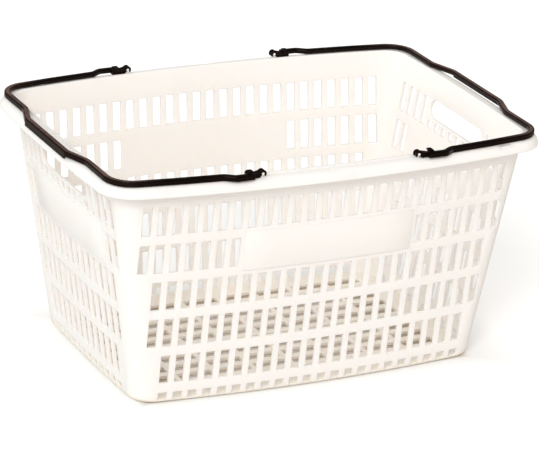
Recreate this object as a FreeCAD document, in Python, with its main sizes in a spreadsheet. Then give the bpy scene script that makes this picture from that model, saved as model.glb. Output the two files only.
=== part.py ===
import FreeCAD, Part
import math
import os

import Sketcher

# Shopping basket: one moulded, slotted basket and two bail handles that clip on pins in its rim.
# Frame: origin under the middle of the base, +Z up, +X along the long side. All sizes in millimetres.

DIMENSIONS = {
    # tapered shell with bowed walls
    "half_length": 169.9,
    "half_width": 106.75,
    "taper_x": 0.150,
    "taper_y": 0.121,
    "bow_long": 12.4,
    "bow_long_span": 180.0,
    "bow_short": 2.8,
    "bow_short_span": 110.0,
    "corner_radius": 22.0,
    "height": 221.7,
    "wall": 2.5,
    "floor": 3.0,
    "base_round": 4.5,
    "cavity_round": 2.0,
    # down-turned rim
    "ledge": 220.5,
    "rim_overhang": 13.5,
    "rim_drop": 10.5,
    "rim_round": 8.8,
    "rim_inner_round": 1.0,
    "skirt_wall": 2.5,
    "channel_depth": 5.0,
    "channel_step": 3.0,
    "channel_step_depth": 7.9,
    # slots of the long walls
    "pitch": 14.0,
    "slot": 8.4,
    "slot_height": 28.0,
    "row_step": 37.2,
    "row1_base": 168.9,
    "foot_slot_height": 7.6,
    "cols_wide": 26,
    "cols_mid": 24,
    "cols_low": 22,
    "cols_beside_panel": 7,
    # slots of the short walls
    "side_pitch": 13.5,
    "side_slot": 8.1,
    "side_cols_wide": 16,
    "side_cols_mid": 14,
    "side_cols_low": 12,
    "side_cols_beside_hole": 4,
    "side_cols_under_hole": 8,
    "side_cols_beside_panel": 2,
    "hole_length": 102.0,
    "hole_height": 18.0,
    "hole_centre": 188.5,
    "short_slot_height": 8.0,
    # label panels
    "panel_half_length": 83.0,
    "side_panel_half_length": 78.2,
    "panel_base": 126.6,
    "panel_height": 39.0,
    "panel_rise": 0.5,
    # floor lattice
    "floor_slot": 11.6,
    "floor_slot_length": 33.0,
    "floor_pitch_x": 38.0,
    "floor_pitch_y": 19.6,
    "floor_cols": 8,
    "floor_rows": 10,
    # pivots: a cross pin on a central web
    "pivot_x": 76.5,
    "pivot_y": 149.2,
    "pivot_z": 224.1,
    "pin": 2.4,
    "pin_length": 6.0,
    "web": 2.2,
    "web_width": 2.0,
    "web_root": 3.0,
    # handles
    "clearance": 0.05,
    "rest_gap": 0.2,
    "hook_wall": 2.15,
    "hook_width": 5.6,
    "hook_mouth": 42.0,
    "hook_blend": 35.0,
    "leg_length": 15.5,
    "leg_height": 3.6,
    "tab_start": 11.0,
    "tab_rise": 1.8,
    "tab_lean": 1.6,
    "fork": 2.6,
    "fork_back": 4.0,
    "fork_front": 5.0,
    "grip_x": 217.3,
    "grip_half": 46.0,
    "grip_skirt": 1.8,
    "grip_drop": 2.4,
    "bar_x": 208.8,
    "jog": 27.0,
    "bend": 20.0,
    "handle_corner": 24.0,
    "arm_inset": 8.0,
    "arm_width": 5.6,
    "arm_height": 5.0,
    "arm_undercut": 1.4,
    "arm_offset": 3.8,
    "arm_end": 9.2,
    "arm_bend": 400.0,
    "arm_shift": 26.0,
    "arm_turn": 9.0,
    "turn_bend": 8.0,
    "top_round": 1.4,
    "edge_round": 0.5,
}

doc = FreeCAD.newDocument("shopping_basket")
sheet = doc.addObject("Spreadsheet::Sheet", "dims")
for row, (alias, value) in enumerate(DIMENSIONS.items(), start=1):
    sheet.set("A%d" % row, alias)
    sheet.set("B%d" % row, str(value))
    sheet.setAlias("B%d" % row, alias)
doc.recompute()


def dim(expression):
    """Value of a spreadsheet expression such as 'dims.wall * 2'."""
    value = sheet.evalExpression(expression)
    return float(getattr(value, "Value", value))


def origin_item(body, role):
    for item in body.Origin.OriginFeatures:
        if item.Role == role:
            return item
    raise ValueError(role)


def new_sketch(body, name, plane, offset="0"):
    """Sketch on an origin plane of the body, moved along its normal by an expression."""
    sketch = body.newObject("Sketcher::SketchObject", name)
    sketch.AttachmentSupport = [(origin_item(body, plane), "")]
    sketch.MapMode = "FlatFace"
    sketch.AttachmentOffset = FreeCAD.Placement(FreeCAD.Vector(0, 0, dim(offset)), FreeCAD.Rotation())
    sketch.setExpression(".AttachmentOffset.Base.z", offset)
    return sketch


def held_at(geometry, point, axis, expression):
    """Constraint and expression that hold one sketch point at a signed distance from the origin."""
    value = dim(expression)
    kind = "Distance" + axis
    if value < 0:
        return Sketcher.Constraint(kind, geometry, point, -1, 1, -value), "-(%s)" % expression
    return Sketcher.Constraint(kind, -1, 1, geometry, point, value), expression


def rectangle(sketch, left, base, width, height):
    """Fully constrained rectangle; every size is a spreadsheet expression."""
    x0 = dim(left)
    y0 = dim(base)
    x1 = x0 + dim(width)
    y1 = y0 + dim(height)
    corners = [FreeCAD.Vector(x, y, 0) for x, y in ((x0, y0), (x1, y0), (x1, y1), (x0, y1))]
    sides = [Part.LineSegment(corners[i], corners[(i + 1) % 4]) for i in range(4)]
    first = sketch.GeometryCount
    sketch.addGeometry(sides, False)
    shape = []
    for i in range(4):
        shape.append(Sketcher.Constraint("Coincident", first + i, 2, first + (i + 1) % 4, 1))
        shape.append(Sketcher.Constraint("Vertical" if i % 2 else "Horizontal", first + i))
    sized = [
        held_at(first, 1, "X", left),
        held_at(first, 1, "Y", base),
        (Sketcher.Constraint("DistanceX", first, 1, first, 2, x1 - x0), width),
        (Sketcher.Constraint("DistanceY", first + 1, 1, first + 1, 2, y1 - y0), height),
    ]
    count = sketch.ConstraintCount + len(shape)
    sketch.addConstraint(shape + [constraint for constraint, _ in sized])
    for index, (_, expression) in enumerate(sized, start=count):
        sketch.setExpression("Constraints[%d]" % index, expression)


def through_cut(body, name, sketch):
    cut = body.newObject("PartDesign::Pocket", name)
    cut.Profile = sketch
    cut.SideType = "Symmetric"
    cut.Type = "ThroughAll"
    cut.Refine = False
    return cut


def depth_cut(body, name, sketch, depth, upward):
    cut = body.newObject("PartDesign::Pocket", name)
    cut.Profile = sketch
    cut.Type = "Length"
    cut.setExpression("Length", depth)
    cut.Reversed = upward
    cut.Refine = False
    return cut


def grow(body, name, sketch, length, symmetric=False, backward=False):
    pad = body.newObject("PartDesign::Pad", name)
    pad.Profile = sketch
    pad.Type = "Length"
    pad.setExpression("Length", length)
    pad.SideType = "Symmetric" if symmetric else "One side"
    pad.Refine = False
    pad.Reversed = backward
    return pad


def repeat(body, name, feature, axis, count, pitch):
    pattern = body.newObject("PartDesign::LinearPattern", name)
    pattern.Originals = [feature]
    pattern.Direction = (origin_item(body, axis), [""])
    pattern.setExpression("Occurrences", count)
    pattern.setExpression("Length", "(%s - 1) * %s" % (count, pitch))
    pattern.Refine = False
    body.Tip = pattern
    return pattern


def mirror(body, name, features, plane):
    copy = body.newObject("PartDesign::Mirrored", name)
    copy.Originals = features
    copy.MirrorPlane = (origin_item(body, plane), [""])
    copy.Refine = False
    body.Tip = copy
    return copy


def wall_circles(z):
    """Centres and radii of the long-wall and short-wall arcs at height z, without offset."""
    radius_long = (dim("dims.bow_long_span ^ 2 + dims.bow_long ^ 2")) / (2 * dim("dims.bow_long"))
    radius_short = (dim("dims.bow_short_span ^ 2 + dims.bow_short ^ 2")) / (2 * dim("dims.bow_short"))
    apex_y = dim("dims.half_width + dims.bow_long") + dim("dims.taper_y") * z
    apex_x = dim("dims.half_length + dims.bow_short") + dim("dims.taper_x") * z
    return apex_y - radius_long, radius_long, apex_x - radius_short, radius_short


def corner_centre(z):
    """Centre of the corner arc that touches the long-wall and the short-wall arcs from inside."""
    centre_y, radius_long, centre_x, radius_short = wall_circles(z)
    reach_long = radius_long - dim("dims.corner_radius")
    reach_short = radius_short - dim("dims.corner_radius")
    gap = math.hypot(centre_x, centre_y)
    along = (reach_long ** 2 - reach_short ** 2 + gap ** 2) / (2 * gap)
    across = math.sqrt(reach_long ** 2 - along ** 2)
    unit = FreeCAD.Vector(centre_x / gap, -centre_y / gap, 0)
    normal = FreeCAD.Vector(-unit.y, unit.x, 0)
    base = FreeCAD.Vector(0, centre_y, 0) + unit * along
    options = (base + normal * across, base - normal * across)
    return max(options, key=lambda point: point.x + point.y)


def bowed_outline(z, offset):
    """Closed outline of eight tangent arcs at height z, moved outward by offset."""
    centre_y, radius_long, centre_x, radius_short = wall_circles(z)
    corner = corner_centre(z)
    from_long = (corner - FreeCAD.Vector(0, centre_y, 0)).normalize()
    from_short = (corner - FreeCAD.Vector(centre_x, 0, 0)).normalize()
    on_long = FreeCAD.Vector(0, centre_y, 0) + from_long * (radius_long + offset)
    on_short = FreeCAD.Vector(centre_x, 0, 0) + from_short * (radius_short + offset)
    middle = corner + (from_long + from_short).normalize() * (dim("dims.corner_radius") + offset)
    apex_x = FreeCAD.Vector(centre_x + radius_short + offset, 0, 0)
    apex_y = FreeCAD.Vector(0, centre_y + radius_long + offset, 0)

    def flip(point, sign_x, sign_y):
        return FreeCAD.Vector(point.x * sign_x, point.y * sign_y, 0)

    return [
        Part.Arc(flip(on_short, 1, -1), apex_x, on_short),
        Part.Arc(on_short, middle, on_long),
        Part.Arc(on_long, apex_y, flip(on_long, -1, 1)),
        Part.Arc(flip(on_long, -1, 1), flip(middle, -1, 1), flip(on_short, -1, 1)),
        Part.Arc(flip(on_short, -1, 1), flip(apex_x, -1, 1), flip(on_short, -1, -1)),
        Part.Arc(flip(on_short, -1, -1), flip(middle, -1, -1), flip(on_long, -1, -1)),
        Part.Arc(flip(on_long, -1, -1), flip(apex_y, 1, -1), flip(on_long, 1, -1)),
        Part.Arc(flip(on_long, 1, -1), flip(middle, 1, -1), flip(on_short, 1, -1)),
    ]


def outline_sketch(body, name, height, *levels):
    """Sketch at a height expression holding bowed outlines, each given as (z, offset) expressions."""
    sketch = new_sketch(body, name, "XY_Plane", height)
    for z, offset in levels:
        for arc in bowed_outline(dim(z), dim(offset)):
            sketch.addGeometry(arc, False)
    return sketch


def loft(body, name, kind, *levels):
    """Ruled loft through bowed outlines, each given as (height, offset) expressions."""
    sections = [
        outline_sketch(body, "%s_%d" % (name, number), height, (height, offset))
        for number, (height, offset) in enumerate(levels, start=1)
    ]
    feature = body.newObject(kind, name)
    feature.Profile = sections[0]
    feature.Sections = sections[1:]
    feature.Ruled = True
    return feature


def edges_at(shape, z):
    """Names of the edges lying in the horizontal plane z."""
    names = []
    for number, edge in enumerate(shape.Edges, start=1):
        box = edge.BoundBox
        flat = abs(box.ZMin - z) < 1e-3 and abs(box.ZMax - z) < 1e-3
        if flat:
            names.append("Edge%d" % number)
    return names


def round_edges(body, name, base, z, radius):
    """Fillet on the edges of a feature that lie in the horizontal plane z."""
    doc.recompute()
    fillet = body.newObject("PartDesign::Fillet", name)
    fillet.Base = (base, edges_at(base.Shape, z))
    fillet.setExpression("Radius", radius)
    return fillet


# ---------------------------------------------------------------- basket

basket = doc.addObject("PartDesign::Body", "basket")

rim_outline = outline_sketch(
    basket, "rim_outline", "dims.height - dims.rim_drop", ("dims.height", "dims.rim_overhang"))
rim = grow(basket, "rim", rim_outline, "dims.ledge - dims.height + dims.rim_drop")
rim_round = round_edges(basket, "rim_round", rim, dim("dims.ledge"), "dims.rim_round")

shell = loft(
    basket, "shell", "PartDesign::AdditiveLoft",
    ("0", "-dims.base_round"),
    ("0.134 * dims.base_round", "-0.5 * dims.base_round"),
    ("0.5 * dims.base_round", "-0.134 * dims.base_round"),
    ("dims.base_round", "0"),
    ("dims.height", "0"))

channel_outline = outline_sketch(
    basket, "channel_outline", "dims.height - dims.rim_drop",
    ("dims.height", "dims.rim_overhang - dims.skirt_wall"), ("dims.height", "0"))
channel = depth_cut(basket, "channel", channel_outline, "dims.channel_depth", True)
channel_top_outline = outline_sketch(
    basket, "channel_top_outline", "dims.height - dims.rim_drop",
    ("dims.height", "dims.rim_overhang - dims.skirt_wall - dims.channel_step"), ("dims.height", "0"))
channel_top = depth_cut(basket, "channel_top", channel_top_outline, "dims.channel_step_depth", True)

cavity = loft(
    basket, "cavity", "PartDesign::SubtractiveLoft",
    ("dims.floor", "-dims.wall - dims.cavity_round"),
    ("dims.floor + 0.3 * dims.cavity_round", "-dims.wall - 0.3 * dims.cavity_round"),
    ("dims.floor + dims.cavity_round", "-dims.wall"),
    ("dims.height - dims.rim_inner_round", "-dims.wall"),
    ("dims.height + dims.rim_inner_round", "dims.rim_inner_round - dims.wall"))
doc.recompute()


# Label panels: slightly raised plain plates on the outside of all four walls.


def arc_strip(body, name, height, half_length, along_x):
    """Thin strip that follows one bowed wall at a height expression, raised by the panel rise."""
    centre_y, radius_long, centre_x, radius_short = wall_circles(dim(height))
    centre, radius = (centre_y, radius_long) if along_x else (centre_x, radius_short)
    half = dim(half_length)
    sketch = new_sketch(body, name, "XY_Plane", height)

    def on_arc(along, offset):
        across = centre + math.sqrt((radius + offset) ** 2 - along ** 2)
        return FreeCAD.Vector(along, across, 0) if along_x else FreeCAD.Vector(across, along, 0)

    outer = [on_arc(along, dim("dims.panel_rise")) for along in (-half, 0, half)]
    inner = [on_arc(along, -dim("dims.wall") / 2) for along in (half, 0, -half)]
    sketch.addGeometry([
        Part.Arc(*outer), Part.LineSegment(outer[2], inner[0]),
        Part.Arc(*inner), Part.LineSegment(inner[2], outer[0])], False)
    return sketch


def panel_pair(body, name, half_length, along_x, plane):
    sections = [
        arc_strip(body, "%s_%s" % (name, end), height, half_length, along_x)
        for end, height in (
            ("base", "dims.panel_base"), ("top", "dims.panel_base + dims.panel_height"))
    ]
    plate = body.newObject("PartDesign::AdditiveLoft", name)
    plate.Profile = sections[0]
    plate.Sections = sections[1:]
    plate.Ruled = True
    plate.Refine = False
    mirror(body, name + "_pair", [plate], plane)


panel_pair(basket, "long_panel", "dims.panel_half_length", True, "XZ_Plane")
panel_pair(basket, "short_panel", "dims.side_panel_half_length", False, "YZ_Plane")

# Pivots: four cross pins over the rim, each standing on a narrow central web.
web_sketch = new_sketch(basket, "web_outline", "XY_Plane", "dims.ledge - dims.web_root")
pin_sketch = new_sketch(basket, "pin_outline", "XZ_Plane", "-dims.pivot_y")
for side in ("-", ""):
    for end in ("-", ""):
        rectangle(
            web_sketch,
            "%sdims.pivot_x - dims.web / 2" % side,
            "%sdims.pivot_y - dims.web_width / 2" % end,
            "dims.web",
            "dims.web_width")
    pin_sketch.addGeometry(
        Part.Circle(
            FreeCAD.Vector(dim("%sdims.pivot_x" % side), dim("dims.pivot_z"), 0),
            FreeCAD.Vector(0, 0, 1), dim("dims.pin / 2")), False)
grow(basket, "webs", web_sketch, "dims.pivot_z - dims.ledge + dims.web_root")
pins = grow(basket, "pins", pin_sketch, "dims.pin_length", symmetric=True)
mirror(basket, "pin_pairs", [pins], "XZ_Plane")



def row_base(number):
    return "dims.row1_base - %d * dims.row_step" % (number - 1)


def column(number, full, pitch):
    """Centre of one column of slots, counted from the left among a full row."""
    return "(%d - (%s + 1) / 2) * %s" % (number, full, pitch)


def slot_columns(body, name, plane, axis, rows, count, pitch, width):
    """Equal columns of slots through a pair of opposite walls; rows are (base, height)."""
    sketch = new_sketch(body, name + "_outline", plane)
    left = "-(%s - 1) * %s / 2 - %s / 2" % (count, pitch, width)
    for base, height in rows:
        rectangle(sketch, left, base, width, height)
    cut = through_cut(body, name + "_first", sketch)
    return repeat(body, name, cut, axis, count, pitch)


def add_slots(sketch, numbers, full, pitch, width, base, height):
    """Single slots in a sketch at the numbered columns of a full row."""
    for number in numbers:
        centre = column(number, full, pitch)
        rectangle(sketch, "%s - %s / 2" % (centre, width), base, width, height)


def end_columns(full, skipped, depth):
    """Numbers of the slots beyond the shared columns: depth of them at both ends of a row."""
    total = int(dim(full))
    left = list(range(1 + skipped, 1 + skipped + depth))
    return left + [total + 1 - number for number in reversed(left)]


TALL = "dims.slot_height"
FOOT_ROW = ("dims.floor", "dims.foot_slot_height")

# Long walls: the shared columns of rows 1, 3, 4, 5 and the foot row, then the slots outside them.
LONG_SIZE = ("dims.pitch", "dims.slot")
slot_columns(
    basket, "long_columns", "XZ_Plane", "X_Axis",
    [(row_base(1), TALL), (row_base(3), TALL), (row_base(4), TALL), (row_base(5), TALL), FOOT_ROW],
    "dims.cols_low", *LONG_SIZE)
beyond_mid = int(dim("(dims.cols_wide - dims.cols_mid) / 2"))
beyond_low = int(dim("(dims.cols_wide - dims.cols_low) / 2"))
long_ends = new_sketch(basket, "long_ends_outline", "XZ_Plane")
add_slots(
    long_ends, end_columns("dims.cols_wide", 0, beyond_low), "dims.cols_wide", *LONG_SIZE,
    row_base(1), TALL)
add_slots(
    long_ends, end_columns("dims.cols_wide", 0, int(dim("dims.cols_beside_panel"))),
    "dims.cols_wide", *LONG_SIZE, row_base(2), TALL)
for number in (3, 4):
    add_slots(
        long_ends, end_columns("dims.cols_wide", beyond_mid, beyond_low - beyond_mid),
        "dims.cols_wide", *LONG_SIZE, row_base(number), TALL)
through_cut(basket, "long_ends", long_ends)

# Short walls: the shared columns of rows 3, 4, 5 and the foot row, then the slots outside them.
SHORT_SIZE = ("dims.side_pitch", "dims.side_slot")
slot_columns(
    basket, "short_columns", "YZ_Plane", "Y_Axis",
    [(row_base(3), TALL), (row_base(4), TALL), (row_base(5), TALL), FOOT_ROW],
    "dims.side_cols_low", *SHORT_SIZE)
beside_hole = int(dim("dims.side_cols_beside_hole"))
side_beyond_mid = int(dim("(dims.side_cols_wide - dims.side_cols_mid) / 2"))
side_beyond_low = int(dim("(dims.side_cols_wide - dims.side_cols_low) / 2"))
short_ends = new_sketch(basket, "short_ends_outline", "YZ_Plane")
add_slots(
    short_ends, end_columns("dims.side_cols_wide", 0, beside_hole), "dims.side_cols_wide",
    *SHORT_SIZE, row_base(1), TALL)
add_slots(
    short_ends, range(beside_hole + 1, int(dim("dims.side_cols_wide")) - beside_hole + 1),
    "dims.side_cols_wide", *SHORT_SIZE, row_base(1), "dims.short_slot_height")
add_slots(
    short_ends, end_columns("dims.side_cols_wide", 0, int(dim("dims.side_cols_beside_panel"))),
    "dims.side_cols_wide", *SHORT_SIZE, row_base(2), TALL)
for number in (3, 4):
    add_slots(
        short_ends, end_columns("dims.side_cols_wide", side_beyond_mid, side_beyond_low - side_beyond_mid),
        "dims.side_cols_wide", *SHORT_SIZE, row_base(number), TALL)

# Hand hole over the short slots: an oblong with full round ends.
hole_round = dim("dims.hole_height / 2")
hole_reach = dim("dims.hole_length / 2") - hole_round
hole_z = dim("dims.hole_centre")
for side in (1, -1):
    near = FreeCAD.Vector(-hole_reach * side, hole_z - hole_round * side, 0)
    far = FreeCAD.Vector(hole_reach * side, hole_z - hole_round * side, 0)
    tip = FreeCAD.Vector((hole_reach + hole_round) * side, hole_z, 0)
    back = FreeCAD.Vector(hole_reach * side, hole_z + hole_round * side, 0)
    short_ends.addGeometry([Part.LineSegment(near, far), Part.Arc(far, tip, back)], False)
through_cut(basket, "short_ends", short_ends)

# Floor lattice: rows of openings that run along the basket.
floor_sketch = new_sketch(basket, "floor_slot_outline", "XY_Plane")
rectangle(
    floor_sketch,
    "-(dims.floor_cols - 1) * dims.floor_pitch_x / 2 - dims.floor_slot_length / 2",
    "-(dims.floor_rows - 1) * dims.floor_pitch_y / 2 - dims.floor_slot / 2",
    "dims.floor_slot_length",
    "dims.floor_slot")
floor_cut = depth_cut(basket, "floor_slot", floor_sketch, "dims.floor + 1", True)
floor_lattice = repeat(
    basket, "floor_lattice", floor_cut, "X_Axis", "dims.floor_cols", "dims.floor_pitch_x")
floor_lattice.Direction2 = (origin_item(basket, "Y_Axis"), [""])
floor_lattice.setExpression("Occurrences2", "dims.floor_rows")
floor_lattice.setExpression("Length2", "(dims.floor_rows - 1) * dims.floor_pitch_y")


# ---------------------------------------------------------------- handles


def rounded_path(points, radii):
    """Lines and arcs along a polyline; radii gives the bend at every inner point."""
    geometry = []
    start = points[0]
    for before, point, after, radius in zip(points, points[1:], points[2:], radii):
        back = (before - point).normalize()
        ahead = (after - point).normalize()
        half = back.getAngle(ahead) / 2
        setback = radius / math.tan(half)
        enter = point + back * setback
        leave = point + ahead * setback
        centre = point + (back + ahead).normalize() * (radius / math.sin(half))
        middle = centre + (point - centre).normalize() * radius
        geometry.append(Part.LineSegment(start, enter))
        geometry.append(Part.Arc(enter, middle, leave))
        start = leave
    geometry.append(Part.LineSegment(start, points[-1]))
    return geometry


def arm_line(x):
    """Distance of the handle arm's centre line from the middle plane, following the bowed rim."""
    centre_y, radius_long, _, _ = wall_circles(dim("dims.height"))
    radius = radius_long + dim("dims.rim_overhang - dims.arm_inset")
    return centre_y + math.sqrt(radius ** 2 - x ** 2)


def half_spine():
    """Points and bends of half a handle, from the middle of the grip to the hook."""
    grip = dim("dims.grip_x")
    bar = dim("dims.bar_x")
    half = dim("dims.grip_half")
    end = dim("dims.grip_half + dims.jog")
    outer = dim("dims.pivot_y + dims.arm_offset")
    shift = dim("dims.pivot_x + dims.arm_shift")
    turn = dim("dims.arm_turn")
    middle = (bar + shift) / 2
    spots = [
        (grip, 0, None),
        (grip, half, "dims.bend"),
        (bar, end, "dims.bend"),
        (bar, arm_line(bar), "dims.handle_corner"),
        (middle, arm_line(middle), "dims.arm_bend"),
        (shift + turn, arm_line(shift + turn), "dims.turn_bend"),
        (shift, outer, "dims.turn_bend"),
        (dim("dims.pivot_x + dims.arm_end"), outer, None),
    ]
    points = [FreeCAD.Vector(x, y, 0) for x, y, _ in spots]
    return points, [dim(bend) for _, _, bend in spots if bend]


def section(sketch):
    """Handle section at the middle of the grip: flat top, the underside rising towards the inner side."""
    half = dim("dims.arm_width / 2")
    centre = dim("dims.grip_x")
    top = dim("dims.ledge + dims.rest_gap + dims.arm_height")
    low = dim("dims.ledge + dims.rest_gap")
    raised = low + dim("dims.arm_undercut")
    corners = [
        (centre, top), (centre + half, top), (centre + half, low), (centre - half / 4, low),
        (centre - half, raised), (centre - half, top), (centre, top),
    ]
    points = [FreeCAD.Vector(x, z, 0) for x, z in corners]
    top_round = dim("dims.top_round")
    edge_round = dim("dims.edge_round")
    bends = [top_round, edge_round, edge_round, edge_round, top_round]
    sketch.addGeometry(rounded_path(points, bends), False)


def hook_outline(sketch):
    """Side view of a handle end: eye that clips down over the pin, leg and leaning stop tab."""
    bore = dim("dims.pin / 2 + dims.clearance")
    outer = bore + dim("dims.hook_wall")
    low = dim("dims.ledge + dims.rest_gap - dims.pivot_z")
    leg = low + dim("dims.leg_height")
    high = low + dim("dims.arm_height + dims.tab_rise")
    mouth = math.radians(dim("dims.hook_mouth"))
    blend = math.radians(dim("dims.hook_blend"))
    tab = dim("dims.tab_start")
    lean = dim("dims.tab_lean")
    end = dim("dims.leg_length")

    def at(s, v):
        return FreeCAD.Vector(dim("dims.pivot_x") + s, dim("dims.pivot_z") + v, 0)

    mouth_near = at(bore * math.sin(mouth), -bore * math.cos(mouth))
    mouth_far = at(-bore * math.sin(mouth), -bore * math.cos(mouth))
    lip_far = at(-outer * math.sin(mouth), -outer * math.cos(mouth))
    corners = [
        mouth_near, at(-low * math.tan(mouth), low), at(end, low), at(end, high - lean),
        at(end - lean, high), at(tab - lean, high), at(tab, leg),
        at(outer * math.cos(blend), outer * math.sin(blend)),
    ]
    sketch.addGeometry([Part.LineSegment(a, b) for a, b in zip(corners, corners[1:])], False)
    sketch.addGeometry([
        Part.Arc(corners[-1], at(-outer, 0), lip_far),
        Part.LineSegment(lip_far, mouth_far),
        Part.Arc(mouth_far, at(0, bore), mouth_near)], False)


def make_handle(name, turn):
    """Bail handle folded on the rim towards +X, then turned about the basket's vertical axis."""
    body = doc.addObject("PartDesign::Body", name)
    spine = new_sketch(body, name + "_spine", "XY_Plane", "dims.ledge + dims.rest_gap")
    spine.addGeometry(rounded_path(*half_spine()), False)
    profile = new_sketch(body, name + "_section", "XZ_Plane")
    section(profile)
    arm = body.newObject("PartDesign::AdditivePipe", name + "_arm")
    arm.Profile = profile
    arm.Spine = (spine, [])
    skirt_outline = new_sketch(body, name + "_grip_outline", "XZ_Plane")
    rectangle(
        skirt_outline,
        "dims.grip_x + dims.arm_width / 2 - dims.grip_skirt",
        "dims.ledge + dims.rest_gap - dims.grip_drop",
        "dims.grip_skirt",
        "dims.grip_drop + dims.arm_height / 2")
    skirt = grow(body, name + "_grip", skirt_outline, "dims.grip_half", backward=True)
    hook_sketch = new_sketch(body, name + "_hook_outline", "XZ_Plane", "-dims.pivot_y")
    hook_outline(hook_sketch)
    hook = grow(body, name + "_hook", hook_sketch, "dims.hook_width", symmetric=True)
    fork_sketch = new_sketch(body, name + "_fork_outline", "XY_Plane", "dims.height")
    rectangle(
        fork_sketch,
        "dims.pivot_x - dims.fork_back",
        "dims.pivot_y - dims.fork / 2",
        "dims.fork_back + dims.fork_front",
        "dims.fork")
    fork = through_cut(body, name + "_fork", fork_sketch)
    mirror(body, name + "_whole", [arm, skirt, hook, fork], "XZ_Plane")
    body.Placement = FreeCAD.Placement(
        FreeCAD.Vector(0, 0, 0), FreeCAD.Rotation(FreeCAD.Vector(0, 0, 1), turn))
    return body


handles = [make_handle("handle_right", 0), make_handle("handle_left", 180)]
doc.recompute()

# ---------------------------------------------------------------- export

for item in doc.Objects:
    if "Invalid" in item.State or "Error" in item.State:
        raise RuntimeError("%s: %s" % (item.Name, item.State))
os.makedirs("parts", exist_ok=True)
for body in [basket] + handles:
    if body.Shape.isNull() or len(body.Shape.Solids) != 1:
        raise RuntimeError("%s is not one solid" % body.Label)
    body.Shape.exportStep("parts/%s.step" % body.Label)
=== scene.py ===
"""Looks, light and camera for a slotted plastic shopping basket with two folding bail handles."""
import math

import bmesh
import bpy
from mathutils import Matrix, Vector

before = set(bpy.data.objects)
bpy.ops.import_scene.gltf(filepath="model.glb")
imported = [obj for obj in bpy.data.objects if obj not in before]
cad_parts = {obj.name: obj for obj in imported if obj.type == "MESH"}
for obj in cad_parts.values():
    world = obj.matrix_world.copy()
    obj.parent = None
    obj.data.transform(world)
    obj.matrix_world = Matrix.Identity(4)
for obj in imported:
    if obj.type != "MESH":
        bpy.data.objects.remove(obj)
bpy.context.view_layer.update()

# The view of the basket: its angles in degrees, and the point looked at and the distances in metres.
VIEW_AZIMUTH = -26.374
VIEW_ELEVATION = 20.953
VIEW_ROLL = 2.628
VIEW_TARGET = Vector((0.00623, -0.00281, 0.11164))
VIEW_DISTANCE = 3.10146
VIEW_REACH = 50.0

# The camera, in millimetres.
LENS = 223.16
SENSOR_WIDTH = 36.0

# Edges of the mouldings, in metres. The bevel widths are what is asked for. The meshes have edges as short
# as 0.04 mm, so the clamp against overlap leaves about 3 per cent of the width on the basket and 1 per cent
# on the handles. Edges look soft through the rounded normals of the materials, over the shading radius.
WELD_DISTANCE = 2e-6
BASKET_BEVEL_WIDTH = 0.00045
HANDLE_BEVEL_WIDTH = 0.0004
BEVEL_SEGMENTS = 2
SHARP_ANGLE = math.radians(32)
BASKET_SHADING_RADIUS = 0.0009
HANDLE_SHADING_RADIUS = 0.0007
SHADING_SAMPLES = 4

# Agreement of the rounded and the plain normal at which a surface starts to count as an edge, and fully does.
EDGE_FROM_TO = (0.99, 0.86)

# Places of the colour mix node's sockets, whose names repeat for each type of value.
MIX_AMOUNT, MIX_FIRST_COLOUR, MIX_SECOND_COLOUR = 0, 6, 7
MIX_COLOUR_RESULT = 2


class Nodes:
    """A short way to add and join the nodes of one tree."""

    def __init__(self, tree):
        self.tree = tree
        tree.nodes.clear()

    def add(self, kind, settings=None, **inputs):
        """A node of this kind with its settings, and its inputs set to values or joined to sockets."""
        node = self.tree.nodes.new(kind)
        for name, value in (settings or {}).items():
            setattr(node, name, value)
        for name, value in inputs.items():
            self.put(node.inputs[name.replace("_", " ")], value)
        return node

    def put(self, socket, value):
        """Joins a socket to the input, or sets the input's own value."""
        if isinstance(value, bpy.types.NodeSocket):
            self.tree.links.new(value, socket)
        else:
            socket.default_value = value

    def noise(self, place, scale, detail, roughness):
        """Smooth random values about 0.5."""
        node = self.add("ShaderNodeTexNoise", Vector=place, Scale=scale, Detail=detail, Roughness=roughness)
        return node.outputs["Fac"]

    def ramp(self, value, low, high, start=0.0, end=1.0):
        """The value's span from low to high, stretched from start to end and held there."""
        node = self.add("ShaderNodeMapRange", {"clamp": True}, Value=value,
                        From_Min=low, From_Max=high, To_Min=start, To_Max=end)
        return node.outputs["Result"]

    def maths(self, operation, first, second=0.0):
        """One sum on two values."""
        node = self.add("ShaderNodeMath", {"operation": operation})
        self.put(node.inputs[0], first)
        self.put(node.inputs[1], second)
        return node.outputs["Value"]

    def blend(self, amount, first, second):
        """Two colours blended by an amount."""
        node = self.add("ShaderNodeMix", {"data_type": "RGBA"})
        self.put(node.inputs[MIX_AMOUNT], amount)
        self.put(node.inputs[MIX_FIRST_COLOUR], first)
        self.put(node.inputs[MIX_SECOND_COLOUR], second)
        return node.outputs[MIX_COLOUR_RESULT]

    def bump(self, height, distance, strength, normal):
        """The normal, tilted by a height whose full span stands for this distance in metres."""
        node = self.add("ShaderNodeBump", Height=height, Distance=distance, Strength=strength, Normal=normal)
        return node.outputs["Normal"]

    def surface(self, **inputs):
        """A principled shader with these inputs, joined to the material's output."""
        shader = self.add("ShaderNodeBsdfPrincipled", **inputs)
        self.add("ShaderNodeOutputMaterial", Surface=shader.outputs["BSDF"])


def new_material(name):
    """An empty node material and its node helper."""
    material = bpy.data.materials.new(name)
    material.use_nodes = True
    return material, Nodes(material.node_tree)


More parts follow.
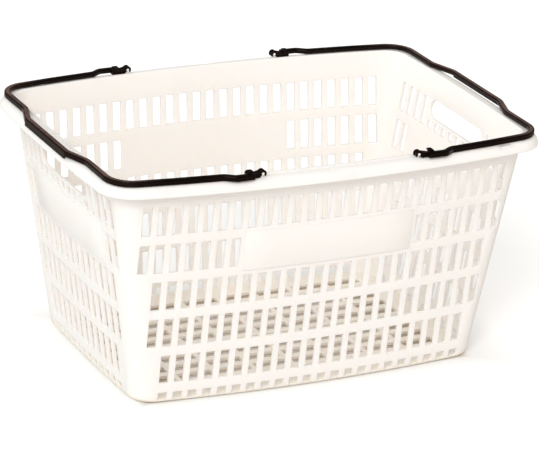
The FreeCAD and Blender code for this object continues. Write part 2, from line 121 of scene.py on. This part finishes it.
def edge_mask(nodes, radius):
    """1 on tight outer and inner edges, 0 on open surfaces, and the rounded normal it came from."""
    rounded = nodes.add("ShaderNodeBevel", {"samples": SHADING_SAMPLES}, Radius=radius).outputs["Normal"]
    plain = nodes.add("ShaderNodeNewGeometry").outputs["Normal"]
    agreement = nodes.add("ShaderNodeVectorMath", {"operation": "DOT_PRODUCT"})
    nodes.put(agreement.inputs[0], rounded)
    nodes.put(agreement.inputs[1], plain)
    return nodes.ramp(agreement.outputs["Value"], *EDGE_FROM_TO), rounded


# White plastic. Colours are in linear light and heights in metres. A noise is its scale per metre, its
# detail and its roughness. A layer is the span of noise it comes in over, then its value at either end.
WHITE_DULLER = (0.925, 0.882, 0.848, 1)
WHITE_CLEANER = (0.948, 0.908, 0.878, 1)
WHITE_FLOW_MARK = (0.91, 0.862, 0.818, 1)
WHITE_SPECK = (0.80, 0.74, 0.66, 1)
# The next colour is a painted warm shade on the floor grid, low in the basket.
WHITE_PAINTED_WARM_SHADE = (0.980, 0.900, 0.805, 1)
WHITE_WORN_EDGE = (0.97, 0.955, 0.935, 1)
WHITE_CLOUDS = (9.0, 3.0, 0.5)
WHITE_FLOW = (34.0, 4.0, 0.55)
WHITE_GRAIN = (1500.0, 3.0, 0.6)
WHITE_SPECKS = (420.0, 2.0, 0.7)
WHITE_SCUFFS = (75.0, 6.0, 0.75)
WHITE_CLEANER_LAYER = (0.3, 0.7, 0.0, 1.0)
WHITE_FLOW_MARK_LAYER = (0.45, 0.75, 0.0, 0.22)
WHITE_SPECK_LAYER = (0.72, 0.80, 0.0, 0.35)
WHITE_PAINTED_WARM_SHADE_LAYER = (0.3, 0.6, 0.7, 1.0)
WHITE_WORN_EDGE_AMOUNT = 0.35
WHITE_ROUGHNESS_LAYER = (0.3, 0.7, 0.36, 0.46)
WHITE_SCUFF_ROUGHNESS_LAYER = (0.56, 0.72, 0.0, 0.16)
WHITE_EDGE_ROUGHNESS = 0.08
WHITE_FLOW_HEIGHT = 0.00035
WHITE_FLOW_STRENGTH = 0.35
WHITE_GRAIN_HEIGHT = 0.00005
WHITE_GRAIN_STRENGTH = 0.4
WHITE_REFRACTION = 1.49
WHITE_GLOW_THROUGH = 0.22
WHITE_GLOW_THROUGH_COLOUR = (1.0, 0.78, 0.55)
WHITE_GLOW_THROUGH_DEPTH = 0.003

# Heights between which the floor grid takes on a painted warm shade.
PAINTED_WARM_SHADE_ABOVE_BELOW = (0.0055, 0.0035)


def white_plastic():
    """Satin moulded polypropylene: warm white, slightly see-through at thin ribs, faintly scuffed, painted
    warm shade low down.
    """
    material, nodes = new_material("satin_white_plastic")
    place = nodes.add("ShaderNodeTexCoord").outputs["Object"]
    clouds = nodes.noise(place, *WHITE_CLOUDS)
    flow = nodes.noise(place, *WHITE_FLOW)
    grain = nodes.noise(place, *WHITE_GRAIN)
    specks = nodes.noise(place, *WHITE_SPECKS)
    edges, rounded = edge_mask(nodes, BASKET_SHADING_RADIUS)

    colour = nodes.blend(nodes.ramp(clouds, *WHITE_CLEANER_LAYER), WHITE_DULLER, WHITE_CLEANER)
    colour = nodes.blend(nodes.ramp(flow, *WHITE_FLOW_MARK_LAYER), colour, WHITE_FLOW_MARK)
    colour = nodes.blend(nodes.ramp(specks, *WHITE_SPECK_LAYER), colour, WHITE_SPECK)
    # Painted warm shade on the floor grid, low in the basket.
    height = nodes.add("ShaderNodeSeparateXYZ", Vector=place).outputs["Z"]
    low = nodes.ramp(height, *PAINTED_WARM_SHADE_ABOVE_BELOW)
    painted_warm_shade = nodes.maths("MULTIPLY", low, nodes.ramp(clouds, *WHITE_PAINTED_WARM_SHADE_LAYER))
    colour = nodes.blend(painted_warm_shade, colour, WHITE_PAINTED_WARM_SHADE)
    worn = nodes.maths("MULTIPLY", edges, WHITE_WORN_EDGE_AMOUNT)
    colour = nodes.blend(worn, colour, WHITE_WORN_EDGE)

    scuffed = nodes.ramp(nodes.noise(place, *WHITE_SCUFFS), *WHITE_SCUFF_ROUGHNESS_LAYER)
    roughness = nodes.maths("ADD", nodes.ramp(flow, *WHITE_ROUGHNESS_LAYER), scuffed)
    roughness = nodes.maths("ADD", roughness, nodes.maths("MULTIPLY", edges, WHITE_EDGE_ROUGHNESS))

    normal = nodes.bump(flow, WHITE_FLOW_HEIGHT, WHITE_FLOW_STRENGTH, rounded)
    normal = nodes.bump(grain, WHITE_GRAIN_HEIGHT, WHITE_GRAIN_STRENGTH, normal)

    nodes.surface(
        Base_Color=colour,
        Roughness=roughness,
        IOR=WHITE_REFRACTION,
        Subsurface_Weight=WHITE_GLOW_THROUGH,
        Subsurface_Radius=WHITE_GLOW_THROUGH_COLOUR,
        Subsurface_Scale=WHITE_GLOW_THROUGH_DEPTH,
        Normal=normal,
    )
    return material


# Black plastic, in the same forms. The scratches are noise drawn out along the arms by the stretch.
BLACK_DARKER = (0.0022, 0.0014, 0.0012, 1)
BLACK_LIGHTER = (0.006, 0.0034, 0.0028, 1)
# The next colour is a browner tone on the crossbars.
BLACK_CROSSBAR_BROWN = (0.020, 0.010, 0.008, 1)
# The next colour is a painted highlight on the tops of the crossbars.
BLACK_PAINTED_HIGHLIGHT = (0.150, 0.088, 0.075, 1)
# The next colour is edge wear with painted highlight lines along the edges.
BLACK_EDGE_WEAR_AND_HIGHLIGHT = (0.115, 0.058, 0.045, 1)
BLACK_PEEL = (260.0, 2.0, 0.5)
BLACK_CLOUDS = (22.0, 4.0, 0.6)
BLACK_SCRATCHES = (1.0, 3.0, 0.7)
BLACK_SCRATCH_STRETCH = (260.0, 3200.0, 3200.0)
BLACK_LIGHTER_LAYER = (0.35, 0.7, 0.0, 1.0)
BLACK_CROSSBAR_BROWN_AMOUNT = 0.3
BLACK_PAINTED_HIGHLIGHT_LAYER = (0.35, 0.65, 0.45, 1.0)
BLACK_EDGE_WEAR_AND_HIGHLIGHT_LAYER = (0.0, 1.0, 0.22, 0.75)
BLACK_ROUGHNESS_LAYER = (0.3, 0.7, 0.17, 0.30)
BLACK_SCRATCH_ROUGHNESS_LAYER = (0.6, 0.8, 0.0, 0.14)
BLACK_EDGE_ROUGHNESS = 0.12
BLACK_HANDLED_ROUGHNESS = 0.04
BLACK_PEEL_HEIGHT = 0.00012
BLACK_PEEL_STRENGTH = 0.35
BLACK_SCRATCH_HEIGHT = 0.00002
BLACK_SCRATCH_STRENGTH = 0.25
BLACK_SHINE = 0.16
BLACK_SHINE_COLOUR = (1.0, 0.70, 0.62, 1.0)

# Distances from the middle over which the crossbars' brown tone, painted highlights and roughness come in.
CROSSBARS_FROM_TO = (0.165, 0.200)

# Upward parts of the normal over which a surface counts as a handle's top at rest, for the painted highlight.
TOP_FROM_TO = (0.9, 0.99)


def black_plastic():
    """Glossy black moulded plastic: orange-peel, fine scratches, browner crossbars, painted highlights on
    their tops and worn edges.
    """
    material, nodes = new_material("gloss_black_plastic")
    place = nodes.add("ShaderNodeTexCoord").outputs["Object"]
    peel = nodes.noise(place, *BLACK_PEEL)
    clouds = nodes.noise(place, *BLACK_CLOUDS)
    stretch = nodes.add("ShaderNodeMapping", Vector=place, Scale=BLACK_SCRATCH_STRETCH)
    scratches = nodes.noise(stretch.outputs["Vector"], *BLACK_SCRATCHES)
    edges, rounded = edge_mask(nodes, HANDLE_SHADING_RADIUS)

    colour = nodes.blend(nodes.ramp(clouds, *BLACK_LIGHTER_LAYER), BLACK_DARKER, BLACK_LIGHTER)
    along = nodes.add("ShaderNodeSeparateXYZ", Vector=place).outputs["X"]
    crossbars = nodes.ramp(nodes.maths("ABSOLUTE", along), *CROSSBARS_FROM_TO)
    colour = nodes.blend(nodes.maths("MULTIPLY", crossbars, BLACK_CROSSBAR_BROWN_AMOUNT), colour, BLACK_CROSSBAR_BROWN)
    facing = nodes.add("ShaderNodeTexCoord").outputs["Normal"]
    upward = nodes.add("ShaderNodeSeparateXYZ", Vector=facing).outputs["Z"]
    # Painted highlight on the tops of the crossbars.
    painted_highlight = nodes.maths("MULTIPLY", crossbars, nodes.ramp(upward, *TOP_FROM_TO))
    painted_highlight = nodes.maths("MULTIPLY", painted_highlight, nodes.ramp(clouds, *BLACK_PAINTED_HIGHLIGHT_LAYER))
    colour = nodes.blend(painted_highlight, colour, BLACK_PAINTED_HIGHLIGHT)
    # Edge wear with painted highlight lines, strongest on the crossbars.
    edge_wear_and_highlight = nodes.maths("MULTIPLY", edges, nodes.ramp(crossbars, *BLACK_EDGE_WEAR_AND_HIGHLIGHT_LAYER))
    colour = nodes.blend(edge_wear_and_highlight, colour, BLACK_EDGE_WEAR_AND_HIGHLIGHT)

    scratched = nodes.ramp(scratches, *BLACK_SCRATCH_ROUGHNESS_LAYER)
    roughness = nodes.maths("ADD", nodes.ramp(clouds, *BLACK_ROUGHNESS_LAYER), scratched)
    roughness = nodes.maths("ADD", roughness, nodes.maths("MULTIPLY", edges, BLACK_EDGE_ROUGHNESS))
    roughness = nodes.maths("ADD", roughness, nodes.maths("MULTIPLY", crossbars, BLACK_HANDLED_ROUGHNESS))

    normal = nodes.bump(peel, BLACK_PEEL_HEIGHT, BLACK_PEEL_STRENGTH, rounded)
    normal = nodes.bump(scratches, BLACK_SCRATCH_HEIGHT, BLACK_SCRATCH_STRENGTH, normal)

    nodes.surface(
        Base_Color=colour,
        Roughness=roughness,
        Specular_IOR_Level=BLACK_SHINE,
        Specular_Tint=BLACK_SHINE_COLOUR,
        Normal=normal,
    )
    return material


def dress(name, material, bevel_width):
    """Gives a moulding its material, closes its mesh and asks for a bevel on its sharp edges."""
    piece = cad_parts[name]
    for slot in piece.material_slots:
        slot.link = "OBJECT"
        slot.material = material
    weld = piece.modifiers.new("weld", "WELD")
    weld.merge_threshold = WELD_DISTANCE
    bevel = piece.modifiers.new("soft edges", "BEVEL")
    bevel.width = bevel_width
    bevel.segments = BEVEL_SEGMENTS
    bevel.limit_method = "ANGLE"
    bevel.angle_limit = SHARP_ANGLE
    bevel.use_clamp_overlap = True


# Floor, in the same forms. It sits a hair under the basket, so that the two surfaces stay apart.
FLOOR_RADIUS = 9.0
FLOOR_SEGMENTS = 96
FLOOR_DROP = 0.0002
FLOOR_MOTTLE = (3.0, 5.0, 0.6)
FLOOR_DARKER = (0.94, 0.939, 0.937, 1)
FLOOR_LIGHTER = (0.96, 0.959, 0.958, 1)
FLOOR_LIGHTER_LAYER = (0.3, 0.7, 0.0, 1.0)
FLOOR_ROUGHNESS_LAYER = (0.3, 0.7, 0.75, 0.85)

# How far the floor goes to its dimmed colour where the basket is lit by it or mirrors it.
FLOOR_DIMMED = (0.30, 0.24, 0.19, 1)
FLOOR_DIMMING = 0.2
FLOOR_DIMMING_IN_REFLECTIONS = 0.85

# The shaded ground right under the basket. The layers' spans are shares of its half size from the middle.
FOOT_HALF_LENGTH = 0.168
FOOT_HALF_WIDTH = 0.112
FOOT_SHADE_COLOUR = (0.35, 0.235, 0.12, 1.0)
FOOT_SHADE_LAYER = (1.0, 0.9, 0.0, 0.79)
FOOT_MIDDLE_LAYER = (0.85, 0.6, 0.0, 0.25)

# The glow that the camera sees on the floor around that ground.
FLOOR_GLOW_COLOUR = (1.0, 1.0, 1.0, 1.0)
FLOOR_GLOW_LAYER = (1.0, 1.35, 0.0, 0.16)


def floor_material():
    """Pale matt studio floor with the faintest mottling, shaded under the basket and glowing around it."""
    material, nodes = new_material("studio_floor")
    place = nodes.add("ShaderNodeTexCoord").outputs["Object"]
    mottle = nodes.noise(place, *FLOOR_MOTTLE)
    colour = nodes.blend(nodes.ramp(mottle, *FLOOR_LIGHTER_LAYER), FLOOR_DARKER, FLOOR_LIGHTER)
    ray = nodes.add("ShaderNodeLightPath").outputs
    dimming = nodes.maths("ADD", nodes.maths("MULTIPLY", ray["Is Diffuse Ray"], FLOOR_DIMMING),
                          nodes.maths("MULTIPLY", ray["Is Glossy Ray"], FLOOR_DIMMING_IN_REFLECTIONS))
    colour = nodes.blend(dimming, colour, FLOOR_DIMMED)
    axes = nodes.add("ShaderNodeSeparateXYZ", Vector=place).outputs
    along = nodes.maths("DIVIDE", nodes.maths("ABSOLUTE", axes["X"]), FOOT_HALF_LENGTH)
    across = nodes.maths("DIVIDE", nodes.maths("ABSOLUTE", axes["Y"]), FOOT_HALF_WIDTH)
    outward = nodes.maths("MAXIMUM", along, across)
    inside = nodes.ramp(outward, *FOOT_SHADE_LAYER)
    inside = nodes.maths("SUBTRACT", inside, nodes.ramp(outward, *FOOT_MIDDLE_LAYER))
    colour = nodes.blend(inside, colour, FOOT_SHADE_COLOUR)
    glow = nodes.ramp(outward, *FLOOR_GLOW_LAYER)
    nodes.surface(
        Base_Color=colour,
        Roughness=nodes.ramp(mottle, *FLOOR_ROUGHNESS_LAYER),
        Emission_Color=FLOOR_GLOW_COLOUR,
        Emission_Strength=nodes.maths("MULTIPLY", glow, ray["Is Camera Ray"]),
    )
    return material


def make_floor():
    """A wide round floor just under the basket."""
    mesh = bpy.data.meshes.new("floor")
    build = bmesh.new()
    bmesh.ops.create_circle(build, cap_ends=True, segments=FLOOR_SEGMENTS, radius=FLOOR_RADIUS)
    build.to_mesh(mesh)
    build.free()
    mesh.materials.append(floor_material())
    floor = bpy.data.objects.new("floor", mesh)
    floor.location = (0.0, 0.0, -FLOOR_DROP)
    bpy.context.scene.collection.objects.link(floor)


# Light: places in metres, of which only the direction counts, and linear colours.
WORLD_COLOUR = (1.0, 0.975, 0.94, 1.0)
WORLD_AT_HORIZON = 0.89
WORLD_OVERHEAD = 0.75
WORLD_OVERHEAD_FROM = 0.9
WORLD_IN_REFLECTIONS = 0.12
KEY_FROM = (-1.9, -2.4, 2.2)
KEY_SPREAD = math.radians(24)
KEY_STRENGTH = 1.28
KEY_COLOUR = (0.975, 0.99, 1.0)
FILL_FROM = (-3.0, 0.3, 0.6)
FILL_SPREAD = math.radians(60)
FILL_STRENGTH = 0.68
FILL_COLOUR = (0.70, 0.93, 1.0)


def soft_sun(name, source, spread, strength, colour, gleams=True):
    """A distant soft lamp that shines from a point towards the basket, and may show in its gloss."""
    data = bpy.data.lights.new(name, "SUN")
    data.angle = spread
    data.energy = strength
    data.color = colour
    lamp = bpy.data.objects.new(name, data)
    lamp.location = source
    lamp.visible_glossy = gleams
    lamp.rotation_euler = (-Vector(source)).to_track_quat("-Z", "Y").to_euler()
    bpy.context.scene.collection.objects.link(lamp)


def make_light():
    """A warm white surround, dimmer overhead, a soft key from above left and a cool fill from the left."""
    world = bpy.data.worlds.new("studio")
    bpy.context.scene.world = world
    world.use_nodes = True
    nodes = Nodes(world.node_tree)
    direction = nodes.add("ShaderNodeTexCoord").outputs["Generated"]
    height = nodes.add("ShaderNodeSeparateXYZ", Vector=direction).outputs["Z"]
    strength = nodes.ramp(height, 0.0, WORLD_OVERHEAD_FROM, WORLD_AT_HORIZON, WORLD_OVERHEAD)
    mirrored = nodes.add("ShaderNodeLightPath").outputs["Is Glossy Ray"]
    strength = nodes.ramp(mirrored, 0.0, 1.0, strength, WORLD_IN_REFLECTIONS)
    glow = nodes.add("ShaderNodeBackground", Color=WORLD_COLOUR, Strength=strength)
    nodes.add("ShaderNodeOutputWorld", Surface=glow.outputs["Background"])
    soft_sun("key", KEY_FROM, KEY_SPREAD, KEY_STRENGTH, KEY_COLOUR)
    soft_sun("fill", FILL_FROM, FILL_SPREAD, FILL_STRENGTH, FILL_COLOUR, gleams=False)


def make_camera():
    """The camera, looking down on the basket's front left corner."""
    azimuth, elevation = math.radians(VIEW_AZIMUTH), math.radians(VIEW_ELEVATION)
    back = Vector((
        math.sin(azimuth) * math.cos(elevation),
        -math.cos(azimuth) * math.cos(elevation),
        math.sin(elevation),
    ))
    level = Vector((0.0, 0.0, 1.0)).cross(back).normalized()
    upright = back.cross(level)
    roll = math.radians(VIEW_ROLL)
    right = math.cos(roll) * level + math.sin(roll) * upright
    up = math.cos(roll) * upright - math.sin(roll) * level
    data = bpy.data.cameras.new("camera")
    data.lens = LENS
    data.sensor_width = SENSOR_WIDTH
    data.clip_end = VIEW_REACH
    camera = bpy.data.objects.new("camera", data)
    turn = Matrix((right, up, back)).transposed()
    camera.matrix_world = Matrix.Translation(VIEW_TARGET + VIEW_DISTANCE * back) @ turn.to_4x4()
    bpy.context.scene.collection.objects.link(camera)
    bpy.context.scene.camera = camera


bpy.context.scene.view_settings.view_transform = "Standard"
white, black = white_plastic(), black_plastic()
dress("basket", white, BASKET_BEVEL_WIDTH)
dress("handle_left", black, HANDLE_BEVEL_WIDTH)
dress("handle_right", black, HANDLE_BEVEL_WIDTH)
make_floor()
make_light()
make_camera()
